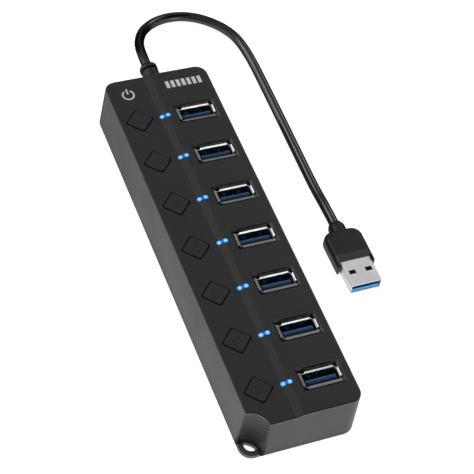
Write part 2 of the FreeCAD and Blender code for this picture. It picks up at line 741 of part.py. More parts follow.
def make_key_switch(index):
    """The latching switch under a key: a housing with a square well for the key's stem."""
    label = f"key_switch_{index + 1}"
    body = new_body(label)
    base = sketch(body, f"{label}_outline")
    add_rounded_rectangle(base, "housing", "switch_side", "switch_side", "0.5")
    pad(body, f"{label}_housing", base, "switch_height")
    well = sketch(body, f"{label}_well_outline", z="switch_height")
    add_rectangle(well, "well", "switch_well_side", "switch_well_side")
    pocket(body, f"{label}_well", well, "switch_well_depth")
    place(body, "key_column", f"{row(index)} + key_shift", BOARD_TOP, turn=45)
    return keep(body, label)


def make_key_cap(index):
    """A hollow square cap with a retaining flange under the deck, a stem and a raised power sign."""
    label = f"key_cap_{index + 1}"
    body = new_body(label)
    top, flange_foot = f"({CASING_TOP} - deck_drop + key_proud)", "(roof_underside - 0.1 - key_flange_thickness)"
    flange = sketch(body, f"{label}_flange_outline", z=flange_foot)
    add_rounded_rectangle(flange, "flange", "key_flange_side", "key_flange_side", "key_flange_radius")
    pad(body, f"{label}_flange", flange, "key_flange_thickness")
    cap = sketch(body, f"{label}_outline", z=flange_foot)
    add_rounded_rectangle(cap, "cap", "key_side", "key_side", "key_corner_radius")
    cap_pad = pad(body, f"{label}_block", cap, f"{top} - {flange_foot}")

    def on_top(edge, middle):
        return middle.z > number(f"{top} - 0.01")

    round_edges(body, f"{label}_soft_edge", cap_pad, "0.25", on_top)
    hollow = sketch(body, f"{label}_hollow_outline", z=flange_foot)
    add_rounded_rectangle(hollow, "hollow", "key_hollow_side", "key_hollow_side", "0.5")
    pocket(body, f"{label}_hollow", hollow, f"{top} - key_top_thickness - {flange_foot}", upward=True)
    stem = sketch(body, f"{label}_stem_outline", z=f"{top} - key_top_thickness")
    add_rectangle(stem, "stem", "key_stem_side", "key_stem_side")
    pad(body, f"{label}_stem", stem, "key_stem_length", reverse=True)
    add_power_sign(body, label, top)
    place(body, "key_column", f"{row(index)} + key_shift", 0, turn=45)
    return keep(body, label)


def add_power_sign(body, label, top):
    """A ring with a gap and a bar in the gap, raised on the cap and upright in the hub's frame."""
    gap, turned = math.radians(38), math.radians(-45)
    outer, inner = number("key_sign_radius + key_sign_stroke / 2"), number("key_sign_radius - key_sign_stroke / 2")
    middle = math.pi / 2 + turned
    start, end = middle + gap, middle + 2 * math.pi - gap
    sign = sketch(body, f"{label}_sign_outline", z=f"{top} - 0.05")
    centre = Vector(0, 0, 0)
    ring_out = sign.addGeometry(arc(centre, outer, start, end))
    ring_in = sign.addGeometry(arc(centre, inner, start, end))
    for curve, name, side in ((ring_out, "ring_out", "+"), (ring_in, "ring_in", "-")):
        sign.addConstraint(Sketcher.Constraint("Coincident", curve, 3, -1, 1))
        fix(sign, name, "Radius", curve, f"key_sign_radius {side} key_sign_stroke / 2")
    for position, at in ((1, start), (2, end)):
        tip_out = Vector(outer * math.cos(at), outer * math.sin(at), 0)
        tip_in = Vector(inner * math.cos(at), inner * math.sin(at), 0)
        cap = sign.addGeometry(Part.LineSegment(tip_out, tip_in))
        sign.addConstraint(Sketcher.Constraint("Coincident", cap, 1, ring_out, position))
        sign.addConstraint(Sketcher.Constraint("Coincident", cap, 2, ring_in, position))
        sign.addConstraint(Sketcher.Constraint("PointOnObject", -1, 1, cap))
    along = Vector(math.cos(middle), math.sin(middle), 0)
    across = Vector(-along.y, along.x, 0) * number("key_sign_stroke / 2")
    foot, tip = along * number("0.35 * key_sign_radius"), along * number("1.35 * key_sign_radius")
    corners = [foot + across, foot - across, tip - across, tip + across]
    add_polygon(sign, "bar", [(str(round(c.x, 4)), str(round(c.y, 4))) for c in corners])
    pad(body, f"{label}_sign", sign, "key_sign_height + 0.05")


def make_light_window(index):
    """A clear light pipe with a flange under the roof; its top follows the two-level deck."""
    label = f"light_window_{index + 1}"
    body = new_body(label)
    along = f"{row(index)} + light_shift"
    pipe = sketch(body, f"{label}_outline", x="light_column", y=along, z="light_foot")
    add_slot(pipe, "pipe", "light_length", "light_width")
    pad(body, f"{label}_pipe", pipe, f"{CASING_TOP} + 1 - light_foot")
    flange = sketch(body, f"{label}_flange_outline", x="light_column", y=along, z="roof_underside - 0.8")
    add_slot(flange, "flange", "light_length + 2 * light_flange", "light_width + 2 * light_flange")
    pad(body, f"{label}_flange", flange, "0.8")
    step = sketch(body, f"{label}_step", "XZ_Plane")
    add_deck_step(step, raised="light_proud")
    pocket(body, f"{label}_top", step)
    return keep(body, label)


def make_board_parts():
    """The light diodes, the two hub controllers with their crystals, the regulator and the capacitors."""
    diodes = []
    for index in range(SIZES["row_count"]):
        for side in ("-", "+"):
            where = (f"light_column {side} diode_spacing / 2", f"{row(index)} + light_shift", BOARD_TOP)
            diodes.append(box(f"diode_{len(diodes) + 1}", "1.25", "2", "diode_height", *where))
    group("light_diodes", diodes)
    controllers, crystals = [], []
    for rows_down in (0.5, 3.5):
        y, side = row(rows_down), "controller_side"
        controllers.append(box(f"controller_{rows_down:.0f}", side, side, "controller_height", "8", y, BOARD_TOP))
        crystals.append(box(f"crystal_{rows_down:.0f}", "3.2", "2.5", "0.8", "1.5", y, BOARD_TOP))
    group("hub_controllers", controllers)
    group("crystals", crystals)
    keep(box("voltage_regulator", "4.5", "2.5", "1.5", "-12.5", "62.5 + 1", BOARD_TOP), "voltage_regulator")
    capacitors = []
    for index in range(SIZES["row_count"] - 1):
        y = f"{row(index)} - row_pitch / 2"
        capacitors.append(box(f"capacitor_{index + 1}", "2", "1.25", "1.2", "14.6", y, BOARD_TOP))
    group("capacitors", capacitors)


# Cord ------------------------------------------------------------------------------------------------------------

CORD_ROUTE = [
    (2.0, 88.0, 11.4),
    (2.0, 95.0, 11.4),
    (4.6, 104.8, 7.6),
    (10.0, 113.8, 4.0),
    (18.6, 119.2, 2.4),
    (28.6, 119.6, 1.95),
    (37.8, 115.0, 1.95),
    (45.4, 106.0, 1.95),
    (47.7, 94.0, 1.95),
    (47.6, 71.0, 1.95),
    (47.2, 44.0, 1.95),
    (46.9, 22.0, 1.95),
    (46.8, 11.0, 3.3),
    (46.8, 3.6, 3.3),
]
ARC_SHARE = 0.45


def cord_path(points):
    """Straight runs joined by tangent arcs, each arc as large as its shorter run allows."""
    points = [Vector(*point) for point in points]
    edges, start = [], points[0]
    for before, corner, after in zip(points, points[1:], points[2:]):
        back, ahead = (before - corner), (after - corner)
        shorter = min(back.Length, ahead.Length)
        back.normalize()
        ahead.normalize()
        turn = math.pi - back.getAngle(ahead)
        reach = ARC_SHARE * shorter
        radius = reach / math.tan(turn / 2)
        print(f"cord corner: run {shorter:.1f} mm, turn {math.degrees(turn):.1f} degrees, radius {radius:.1f} mm")
        arc_start, arc_end = corner + back * reach, corner + ahead * reach
        middle = (back + ahead).normalize()
        arc_middle = corner + middle * (radius / math.cos(turn / 2) - radius)
        edges.append(Part.LineSegment(start, arc_start).toShape())
        edges.append(Part.Arc(arc_start, arc_middle, arc_end).toShape())
        start = arc_end
    edges.append(Part.LineSegment(start, points[-1]).toShape())
    return Part.Wire(edges)


def make_cord():
    path = cord_path(CORD_ROUTE)
    radius = number("cord_radius")
    start, towards = Vector(*CORD_ROUTE[0]), Vector(*CORD_ROUTE[1])
    section = Part.Wire(Part.makeCircle(radius, start, towards - start))
    tube = path.makePipeShell([section], True, False)
    cord = doc.addObject("Part::Feature", "cord")
    cord.Shape = tube
    expected = math.pi * radius**2 * path.Length
    print(f"cord length {path.Length:.1f} mm, volume {tube.Volume:.0f} of {expected:.0f} cubic mm")
    keep(cord, "cord")


def make_strain_relief():
    """A moulded gland turned about the cord: an inner flange, a neck through the wall, a groove and a collar."""
    body = new_body("strain_relief")
    profile = sketch(body, "gland_section", "YZ_Plane", z="gland_column")
    wall_out = "(casing_length / 2)"
    axis = "gland_height"
    steps = [
        (f"{wall_out} - 3.6", "4.6"),
        (f"{wall_out} - 2.6", "4.6"),
        (f"{wall_out} - 2.6", "3.3"),
        (f"{wall_out} + 6.4", "3.25"),
        (f"{wall_out} + 6.6", "2.75"),
        (f"{wall_out} + 7.2", "2.75"),
        (f"{wall_out} + 7.4", "3.45"),
        (f"{wall_out} + 8.9", "3.45"),
        ("gland_tip", "2.6"),
    ]
    corners = [(f"{wall_out} - 3.6", axis)] + [(y, f"{axis} + {r}") for y, r in steps] + [("gland_tip", axis)]
    add_polygon(profile, "gland", corners)
    turned = turn_about_y(body, "gland_turned", profile, "gland_column", axis)

    def at_collar_end(edge, middle):
        return number("casing_length / 2 + 8.8") < middle.y < number("gland_tip - 0.5")

    round_edges(body, "gland_dome", turned, "0.8", at_collar_end)
    return keep(body, "strain_relief")


def make_inner_wires():
    """The cord's end inside the casing: a stub of its sheath, the soldered header and four wires between them."""
    stub_tip = "(casing_length / 2 - 3.6)"
    stub = doc.addObject("Part::Cylinder", "inner_sheath")
    bind(stub, Radius="cord_radius", Height="2.4")
    stub.Placement = Placement(Vector(0, 0, 0), Rotation(Vector(1, 0, 0), 90))
    bind(stub, Placement__Base__x="gland_column", Placement__Base__y=stub_tip, Placement__Base__z="gland_height")
    header = box("wire_header", "9", "4", "3.2", "gland_column", "66.5", BOARD_TOP)
    keep(header, "wire_header")
    wires = []
    sheath_end = number(f"{stub_tip} - 2.4")
    for index, spread in enumerate((-3, -1, 1, 3)):
        start = Vector(number("gland_column") + spread * 0.3, sheath_end, number("gland_height"))
        end = Vector(number("gland_column") + spread, 66.5, number(f"{BOARD_TOP} + 3.2"))
        direction = end - start
        wire = doc.addObject("Part::Cylinder", f"inner_wire_{index + 1}")
        wire.Radius = 0.28
        wire.Height = direction.Length - 0.6
        wire.Placement = Placement(start, Rotation(Vector(0, 0, 1), direction))
        wires.append(wire)
    group("inner_wires", [stub] + wires)


# Plug ------------------------------------------------------------------------------------------------------------


def make_plug_overmould():
    """The soft grip: a flat body with two ears beside the steel shell, and a round neck for the cord."""
    body = new_body("plug_overmould")
    low = "plug_height - plug_thickness / 2"
    outline = sketch(body, "overmould_outline", x="plug_column", y="(plug_back + plug_front - plug_ear) / 2", z=low)
    add_rectangle(outline, "overmould", "plug_width", "plug_back - plug_front + plug_ear")
    block = pad(body, "overmould_block", outline, "plug_thickness")

    def at_shoulder(edge, middle):
        return middle.y > number("plug_back") - 0.1 and edge.BoundBox.ZLength > 5

    shoulders = round_edges(body, "round_shoulders", block, "plug_shoulder_radius", at_shoulder)

    def along_outline(edge, middle):
        return edge.BoundBox.ZLength < 0.01 and middle.y > number("plug_front - plug_ear") + 0.1

    round_edges(body, "soft_outline", shoulders, "plug_soft_radius", along_outline)
    half_height = "(plug_thickness / 2)"
    between_ears = sketch(body, "between_ears_outline", x="plug_column", y="plug_front - plug_ear / 2", z=low)
    add_rectangle(between_ears, "between_ears", "plug_shell_width + 0.5", "plug_ear")
    pocket(body, "between_ears", between_ears, "plug_thickness", upward=True)
    slopes = sketch(body, "slope_sections", "YZ_Plane", y="plug_height", z="plug_column")
    rise = "(plug_shell_height / 2 + 0.15)"
    for name, sign in (("upper", ""), ("lower", "-")):
        foot = ("plug_front - 0.1", f"{sign}{rise}")
        head = ("plug_front + plug_slope", f"{sign}({half_height} + 0.01)")
        add_polygon(slopes, name, [foot, head, ("plug_front - 0.1", f"{sign}({half_height} + 1)")])
    sloped = pocket(body, "front_slopes", slopes, "plug_shell_width + 0.5", both=True)

    def on_ear_tip(edge, middle):
        return middle.y < number("plug_front - plug_ear") + 0.01

    round_edges(body, "soft_ears", sloped, "0.5", on_ear_tip)
    neck = sketch(body, "neck_section", "YZ_Plane", z="plug_column")
    axis = "plug_height"
    corners = [
        ("plug_back - 3", axis),
        ("plug_back - 3", f"{axis} + plug_neck_radius"),
        ("plug_neck_end - 1.6", f"{axis} + plug_neck_radius"),
        ("plug_neck_end", f"{axis} + 2.4"),
        ("plug_neck_end", axis),
    ]
    add_polygon(neck, "neck", corners)
    turned = turn_about_y(body, "neck_turned", neck, "plug_column", axis)

    def at_neck_end(edge, middle):
        return number("plug_neck_end - 1.7") < middle.y < number("plug_neck_end - 0.5")

    round_edges(body, "neck_dome", turned, "1.2", at_neck_end)
    root = "-plug_shell_root"
    socket = sketch(body, "shell_socket_outline", "XZ_Plane", x="plug_column", y="plug_height", z=root)
    add_rectangle(socket, "socket", "plug_shell_width + 0.06", "plug_shell_height + 0.06")
    pocket(body, "shell_socket", socket, "20", upward=True)
    return keep(body, "plug_overmould")


def make_plug_shell():
    """The folded steel shell, with two square windows through its upper and lower walls."""
    body = new_body("plug_shell")
    length = "(plug_shell_root - plug_nose)"
    tube = sketch(body, "plug_tube_outline", "XZ_Plane", x="plug_column", y="plug_height", z="-plug_shell_root")
    bore = "- 2 * sheet_thickness"
    add_rounded_rectangle(tube, "outer", "plug_shell_width", "plug_shell_height", "0.6")
    add_rounded_rectangle(tube, "inner", f"plug_shell_width {bore}", f"plug_shell_height {bore}", "0.3")
    pad(body, "plug_tube", tube, length)
    windows = sketch(body, "window_outlines", x="plug_column", y="plug_nose + 5.9", z="plug_height")
    for name, side in (("left", "-"), ("right", "")):
        add_rectangle(windows, name, "2.6", "1.8", x=f"{side}3.2")
    pocket(body, "windows", windows)
    return keep(body, "plug_shell")


def make_plug_insulator():
    """The blue carrier in the lower half of the shell."""
    body = new_body("plug_insulator")
    low = "plug_height - plug_shell_height / 2 + sheet_thickness + 0.02"
    middle, length = "(plug_nose + 0.3 + plug_shell_root) / 2", "plug_shell_root - plug_nose - 0.3"
    outline = sketch(body, "insulator_outline", x="plug_column", y=middle, z=low)
    add_rectangle(outline, "insulator", "plug_shell_width - 2 * sheet_thickness - 0.5", length)
    pad(body, "insulator_block", outline, "insulator_height")
    return keep(body, "plug_insulator")


def make_plug_contacts():
    """Four long flat contacts on the carrier and five raised ones behind them."""
    low = "plug_height - plug_shell_height / 2 + sheet_thickness + 0.02 + insulator_height"
    pieces = []
    for at in (-3.5, -1.0, 1.0, 3.5):
        where = (f"plug_column + {at}", "plug_nose + 5", low)
        pieces.append(box(f"plug_flat_{len(pieces) + 1}", "contact_width", "6", "contact_thickness", *where))
    for at in (-4.0, -2.0, 0.0, 2.0, 4.0):
        where = (f"plug_column + {at}", "plug_nose + 11", low)
        pieces.append(box(f"plug_raised_{len(pieces) + 1}", "0.6 * contact_width", "3", "0.5", *where))
    group("plug_contacts", pieces)


make_top_shell()
make_bottom_plate()
make_feet()
make_case_screws()
make_circuit_board()
make_board_parts()
for port in range(SIZES["row_count"]):
    make_port_shell(port)
    make_port_tongue(port)
    make_port_contacts(port)
    make_key_switch(port)
    make_key_cap(port)
    make_light_window(port)
make_strain_relief()
make_inner_wires()
make_cord()
make_plug_overmould()
make_plug_shell()
make_plug_insulator()
make_plug_contacts()

doc.recompute()
failed = [thing.Label for thing in doc.Objects if "Invalid" in thing.State or "Error" in thing.State]
if failed:
    raise RuntimeError(f"these objects failed: {failed}")
os.makedirs("parts", exist_ok=True)
for thing in KEPT:
    if thing.Shape.isNull() or not thing.Shape.isValid():
        raise RuntimeError(f"{thing.Label} has no valid shape")
    print(f"{thing.Label}: {len(thing.Shape.Solids)} solids, {thing.Shape.Volume:.1f} cubic mm")
    thing.Shape.exportStep(f"parts/{thing.Label}.step")
print(f"{len(KEPT)} sub-parts")
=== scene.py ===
"""The looks of a USB hub: seven upright sockets, a push key and a lit window beside each, a short cord and a plug.

Metres, in the CAD model's frame: +Z up, the origin under the middle of the casing, +Y towards the cord's end and
+X towards the sockets. The CAD pieces keep their shapes and get materials here, the cord is rebuilt as one smooth
curve, and the printed pictograms are added.
"""

import json
import math

import bmesh
import bpy
from mathutils import Euler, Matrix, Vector


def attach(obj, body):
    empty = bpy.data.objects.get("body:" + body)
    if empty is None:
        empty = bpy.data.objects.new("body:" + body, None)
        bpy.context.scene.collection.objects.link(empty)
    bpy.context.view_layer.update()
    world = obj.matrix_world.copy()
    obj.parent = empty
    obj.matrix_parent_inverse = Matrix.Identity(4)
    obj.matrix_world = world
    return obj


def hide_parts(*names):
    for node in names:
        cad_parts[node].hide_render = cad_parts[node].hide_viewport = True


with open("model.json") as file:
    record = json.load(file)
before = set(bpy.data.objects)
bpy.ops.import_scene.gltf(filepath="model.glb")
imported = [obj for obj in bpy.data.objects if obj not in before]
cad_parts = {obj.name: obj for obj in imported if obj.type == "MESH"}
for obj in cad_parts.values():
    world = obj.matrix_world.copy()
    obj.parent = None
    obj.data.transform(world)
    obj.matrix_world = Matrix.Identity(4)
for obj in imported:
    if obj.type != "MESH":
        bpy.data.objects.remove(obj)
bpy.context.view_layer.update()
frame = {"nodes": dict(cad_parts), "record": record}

# Places on the hub that the materials and the prints need. LIGHT_SHIFT is how far the lights stand along +Y from
# their row, SPOT_OFFSET how far a light's two pale spots are from its middle, PLUG_NOSE the front of the plug's
# shell and LIP_START the sloping front of its grip.
MM = 0.001
ROWS = 7
ROW_PITCH = 20 * MM
FIRST_ROW = 55.8 * MM
LIGHT_COLUMN = -2.75 * MM
LIGHT_SHIFT = 0.4 * MM
SPOT_OFFSET = 1.15 * MM
PLUG_NOSE = -25.4 * MM
LIP_START = PLUG_NOSE + 13.8 * MM
SCOOP_X = -20.0 * MM
SCOOP_Y = -77.2 * MM
RIM_LOW = 15.5 * MM
DECK_LOW = 18.6 * MM
DECK_HIGH = 19.4 * MM

scene = bpy.context.scene
scene.view_settings.view_transform = "Standard"


# Camera and cord -------------------------------------------------------------------------------------------------

camera = bpy.data.objects.new("camera", bpy.data.cameras.new("camera"))
scene.collection.objects.link(camera)
camera.location = (-0.1791, -0.3020, 0.4587)
camera.rotation_euler = Euler((math.radians(37.78), math.radians(-8.13), math.radians(-21.02)))
camera.data.sensor_width = 36
camera.data.lens = 122.3
camera.data.clip_start = 0.01
camera.data.clip_end = 50
scene.camera = camera

CORD_RADIUS = 1.9 * MM
# Control points in millimetres: out of the gland, down to the desk, round one loose loop and back to the plug.
CORD_ROUTE = [
    (2.0, 88.0, 11.4),
    (2.0, 95.0, 11.4),
    (4.6, 104.8, 7.6),
    (10.0, 113.8, 4.0),
    (18.6, 119.2, 2.4),
    (28.6, 119.6, 1.95),
    (37.8, 115.0, 1.95),
    (45.4, 106.0, 1.95),
    (47.7, 94.0, 1.95),
    (47.6, 71.0, 1.95),
    (47.2, 44.0, 1.95),
    (46.9, 22.0, 1.95),
    (46.8, 11.0, 3.3),
    (46.8, 3.6, 3.3),
]


def make_cord():
    """One smooth tube along the route, in place of the CAD model's cord."""
    curve = bpy.data.curves.new("cord_sheath", "CURVE")
    curve.dimensions = "3D"
    curve.resolution_u = 24
    curve.bevel_depth = 1.0
    curve.bevel_resolution = 8
    curve.use_fill_caps = True
    spline = curve.splines.new("NURBS")
    spline.points.add(len(CORD_ROUTE) - 1)
    for point, place in zip(spline.points, CORD_ROUTE):
        point.co = (place[0] * MM, place[1] * MM, place[2] * MM, 1)
        point.radius = CORD_RADIUS
    spline.order_u = 3
    spline.use_endpoint_u = True
    cord = bpy.data.objects.new("cord_sheath", curve)
    scene.collection.objects.link(cord)
    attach(cord, "hub")
    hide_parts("cord")
    return cord


cord = make_cord()


# Materials -------------------------------------------------------------------------------------------------------


class Nodes:
    """The node tree of a material or of the world, with short ways to add and join nodes."""

    def __init__(self, name, owner=None, shader="Principled BSDF", place="Object"):
        self.material = owner or bpy.data.materials.new(name)
        self.material.use_nodes = True
        self.tree = self.material.node_tree
        self.shader = self.tree.nodes[shader]
        self.place = self.add("ShaderNodeTexCoord").outputs[place]

    def add(self, kind, **settings):
        node = self.tree.nodes.new(kind)
        for name, value in settings.items():
            setattr(node, name, value)
        return node

    def put(self, socket, value):
        """Joins an output to a socket, or sets a plain value on it."""
        if isinstance(value, bpy.types.NodeSocket):
            self.tree.links.new(value, socket)
        else:
            socket.default_value = value

    def set(self, **values):
        """Sets the shader's sockets; an underscore stands for a space."""
        for name, value in values.items():
            self.put(self.shader.inputs[name.replace("_", " ")], value)

    def noise(self, scale, detail=2.0, roughness=0.5, stretch=None):
        """A noise from 0 to 1, stretched along the axes if asked."""
        node = self.add("ShaderNodeTexNoise")
        node.inputs["Scale"].default_value = scale
        node.inputs["Detail"].default_value = detail
        node.inputs["Roughness"].default_value = roughness
        place = self.place
        if stretch:
            mapping = self.add("ShaderNodeMapping")
            mapping.inputs["Scale"].default_value = stretch
            self.put(mapping.inputs["Vector"], place)
            place = mapping.outputs["Vector"]
        self.put(node.inputs["Vector"], place)
        return node.outputs["Fac"]

    def spread(self, value, low, high, low_in=0.3, high_in=0.7):
        """Maps a value from one range to another."""
        node = self.add("ShaderNodeMapRange")
        self.put(node.inputs["Value"], value)
        node.inputs["From Min"].default_value = low_in
        node.inputs["From Max"].default_value = high_in
        node.inputs["To Min"].default_value = low
        node.inputs["To Max"].default_value = high
        return node.outputs["Result"]

    def math(self, operation, first, second=0.0):
        node = self.add("ShaderNodeMath", operation=operation)
        for socket, value in zip(node.inputs, (first, second)):
            self.put(socket, value)
        return node.outputs["Value"]

    def product(self, first, second):
        return self.math("MULTIPLY", first, second)

    def hypotenuse(self, first, second):
        """The distance from the origin of a plane, from both coordinates on it."""
        squares = [self.math("POWER", value, 2.0) for value in (first, second)]
        return self.math("SQRT", self.math("ADD", *squares))

    def mix(self, share, first, second):
        """Blends two colours."""
        node = self.add("ShaderNodeMix", data_type="RGBA")
        self.put(node.inputs["Factor"], share)
        self.put(node.inputs["A"], first)
        self.put(node.inputs["B"], second)
        return node.outputs["Result"]

    def towards(self, direction):
        """The cosine of the angle between a place and a direction from the origin."""
        dot = self.add("ShaderNodeVectorMath", operation="DOT_PRODUCT")
        self.put(dot.inputs[0], self.place)
        dot.inputs[1].default_value = Vector(direction).normalized()
        return dot.outputs["Value"]

    def axes(self):
        """The three coordinates of the place."""
        node = self.add("ShaderNodeSeparateXYZ")
        self.put(node.inputs["Vector"], self.place)
        return node.outputs["X"], node.outputs["Y"], node.outputs["Z"]

    def across_row(self, shift):
        """The distance along Y from the nearest row of ports, whose middle is shifted."""
        y = self.axes()[1]
        rows = self.math("DIVIDE", self.math("SUBTRACT", y, FIRST_ROW + shift - 0.5 * ROW_PITCH), ROW_PITCH)
        return self.product(self.math("SUBTRACT", self.math("FRACT", rows), 0.5), ROW_PITCH)

    def bump(self, height, distance, strength):
        """Gives the shader a normal from a height, whose full range stands for the distance."""
        node = self.add("ShaderNodeBump")
        node.inputs["Strength"].default_value = strength
        node.inputs["Distance"].default_value = distance
        self.put(node.inputs["Height"], height)
        self.set(Normal=node.outputs["Normal"])

    def closed_in(self, distance):
        """Ambient occlusion: 1 in the open and towards 0 in corners and pits of that size."""
        node = self.add("ShaderNodeAmbientOcclusion", samples=6)
        node.inputs["Distance"].default_value = distance
        return node.outputs["AO"]

    def upward(self):
        """The upward part of the surface's normal."""
        parts = self.add("ShaderNodeSeparateXYZ")
        self.put(parts.inputs["Vector"], self.add("ShaderNodeNewGeometry").outputs["Normal"])
        return parts.outputs["Z"]

    def edges(self, radius):
        """1 on edges and 0 on flat ground, from how far a rounded normal leaves the true one."""
        bevel = self.add("ShaderNodeBevel", samples=4)
        bevel.inputs["Radius"].default_value = radius
        dot = self.add("ShaderNodeVectorMath", operation="DOT_PRODUCT")
        self.put(dot.inputs[0], bevel.outputs["Normal"])
        self.put(dot.inputs[1], self.add("ShaderNodeNewGeometry").outputs["Normal"])
        return self.spread(dot.outputs["Value"], 1.0, 0.0, 0.80, 0.99)


def grey(value, tint=(1.0, 1.0, 1.0)):
    return (value * tint[0], value * tint[1], value * tint[2], 1.0)


FINE_GRAIN = 5200.0
GRAIN_DEPTH = 0.02 * MM
EDGE_WEAR = 0.25 * MM
BLACK = grey(0.013, (1.0, 1.02, 1.08))
BLACK_CLOUDS = grey(0.0145, (1.0, 1.02, 1.08))
RIM_HIGHLIGHT_GREY = grey(0.16)
GRIP = grey(0.006, (1.0, 0.98, 1.06))
GRIP_CLOUDS = grey(0.009, (1.0, 0.98, 1.06))


def moulded(name, colour, wear_tone_and_rim_highlight, rough=(0.42, 0.54), grain=FINE_GRAIN):
    """A moulded plastic or rubber: fine grain, soft colour clouds, slightly polished and paler along its edges."""
    nodes = Nodes(name)
    clouds = nodes.noise(55.0, 3.0)
    grains = nodes.noise(grain, 2.0)
    paler = [share * 1.12 for share in colour[:3]] + [1.0]
    base = nodes.mix(nodes.spread(clouds, 0.0, 1.0), colour, paler)
    edge_wear_and_painted_highlight = nodes.product(nodes.edges(EDGE_WEAR), nodes.spread(nodes.noise(240.0, 3.0), 0.25, 1.0))
    nodes.set(Base_Color=nodes.mix(nodes.product(edge_wear_and_painted_highlight, 0.5), base, wear_tone_and_rim_highlight))
    roughness = nodes.math("ADD", nodes.spread(clouds, *rough), nodes.spread(grains, -0.04, 0.04))
    nodes.set(Roughness=nodes.math("SUBTRACT", roughness, nodes.product(edge_wear_and_painted_highlight, 0.08)))
    nodes.bump(grains, GRAIN_DEPTH, 0.6)
    return nodes.material


def make_casing_material():
    """The casing's satin plastic, with a painted highlight along its rounded upper rims, and painted shade that
    takes its gloss away in pits and corners and towards the foot of its scoop.
    """
    nodes = Nodes("casing_plastic")
    x, y, z = nodes.axes()
    clouds = nodes.noise(55.0, 3.0)
    grains = nodes.noise(FINE_GRAIN, 2.0)
    base = nodes.mix(nodes.spread(clouds, 0.0, 1.0), BLACK, BLACK_CLOUDS)
    up = nodes.upward()
    # Painted highlight: the upper rounding of the rims is mixed towards a pale grey, as a light line along the top
    # edges.
    rim = nodes.product(nodes.spread(up, 0.0, 1.0, 0.2, 0.4), nodes.spread(up, 1.0, 0.0, 0.5, 0.72))
    high = nodes.spread(z, 0.0, 1.0, RIM_LOW, RIM_LOW + 1 * MM)
    wear_tone_and_rim_highlight = nodes.product(nodes.product(rim, high), nodes.spread(nodes.noise(140.0, 3.0), 0.7, 1.0))
    nodes.set(Base_Color=nodes.mix(wear_tone_and_rim_highlight, base, RIM_HIGHLIGHT_GREY))
    nodes.set(Roughness=nodes.math("ADD", nodes.spread(clouds, 0.34, 0.42), nodes.spread(grains, -0.04, 0.04)))
    # Painted shade: the gloss falls away where the surface is closed in and towards the foot of the scoop, where
    # shade falls.
    off_axis = nodes.hypotenuse(nodes.math("SUBTRACT", x, SCOOP_X), nodes.math("SUBTRACT", y, SCOOP_Y))
    scoop = nodes.spread(off_axis, 1.0, 0.0, 6.5 * MM, 7.2 * MM)
    low = nodes.product(scoop, nodes.spread(z, 0.97, 0.05, 3 * MM, 17 * MM))
    gloss_with_painted_shade = nodes.spread(nodes.closed_in(7 * MM), 0.02, 0.5, 0.25, 0.85)
    nodes.set(Specular_IOR_Level=nodes.product(gloss_with_painted_shade, nodes.math("SUBTRACT", 1.0, low)))
    nodes.bump(grains, GRAIN_DEPTH, 0.6)
    return nodes.material


def make_tongue_material():
    """The blue plastic of a socket's tongue, with a painted highlight along the edge that faces the contacts and
    painted shade that darkens it inside.
    """
    nodes = Nodes("port_tongue_blue")
    specks = nodes.spread(nodes.noise(2200.0, 2.0), 0.0, 1.0)
    # Painted shade: where the tongue is closed in its colour goes towards near black; the lit edge band is a
    # painted highlight.
    open_share = nodes.spread(nodes.closed_in(3 * MM), 0.0, 1.0, 0.2, 0.7)
    edge = nodes.spread(nodes.across_row(0.0), 0.0, 1.0, -0.8 * MM, -0.25 * MM)
    face = nodes.mix(specks, (0.002, 0.03, 0.09, 1.0), (0.004, 0.04, 0.12, 1.0))
    lit = nodes.product(edge, nodes.spread(specks, 0.8, 1.0, 0.0, 1.0))
    front = nodes.mix(lit, face, (0.02, 0.25, 0.62, 1.0))
    nodes.set(Base_Color=nodes.mix(open_share, (0.001, 0.006, 0.02, 1.0), front))
    nodes.set(Roughness=nodes.spread(specks, 0.3, 0.4, 0.0, 1.0))
    nodes.bump(specks, 0.01 * MM, 0.4)
    return nodes.material


def make_grip_material():
    """Soft satin PVC of the gland and the plug's grip, paler on worn edges; the sloping lip before the plug's
    shell carries a painted pale highlight.
    """
    nodes = Nodes("grip_pvc")
    y = nodes.axes()[1]
    grains = nodes.noise(1800.0, 2.0)
    clouds = nodes.noise(90.0, 3.0)
    # Painted highlight: the upward-facing lip before the shell is mixed pale; the edge wear beside it is real
    # wear.
    before = nodes.spread(y, 1.0, 0.0, LIP_START - 0.2 * MM, LIP_START + 0.2 * MM)
    painted_lip_highlight = nodes.spread(nodes.product(before, nodes.upward()), 0.0, 1.0, 0.5, 0.9)
    base = nodes.mix(nodes.spread(clouds, 0.0, 1.0), GRIP, GRIP_CLOUDS)
    edge_wear_and_painted_highlight = nodes.math("MAXIMUM", nodes.product(nodes.edges(0.3 * MM), 0.4), painted_lip_highlight)
    nodes.set(Base_Color=nodes.mix(edge_wear_and_painted_highlight, base, grey(0.06)), Specular_IOR_Level=0.4)
    nodes.set(Roughness=nodes.math("ADD", nodes.spread(clouds, 0.4, 0.48), nodes.spread(grains, -0.05, 0.05)))
    nodes.bump(grains, 0.05 * MM, 0.6)
    return nodes.material


# How dense the rolling lines of the sheet metal are along X, Y and Z.
ROLLED = (6000.0, 6000.0, 600.0)


def metal(name, colour, dark, rough=(0.16, 0.3), drawn=0.5):
    """Plated sheet metal: faint rolling lines and soft stains."""
    nodes = Nodes(name)
    lines = nodes.noise(1.0, 3.0, 0.6, stretch=ROLLED)
    stains = nodes.noise(420.0, 3.0)
    nodes.set(Metallic=1.0, Base_Color=nodes.mix(nodes.spread(stains, 0.0, 0.6), colour, dark))
    nodes.set(Roughness=nodes.math("ADD", nodes.spread(stains, *rough), nodes.spread(lines, -0.04, 0.04)))
    nodes.bump(lines, 0.004 * MM, drawn)
    return nodes.material


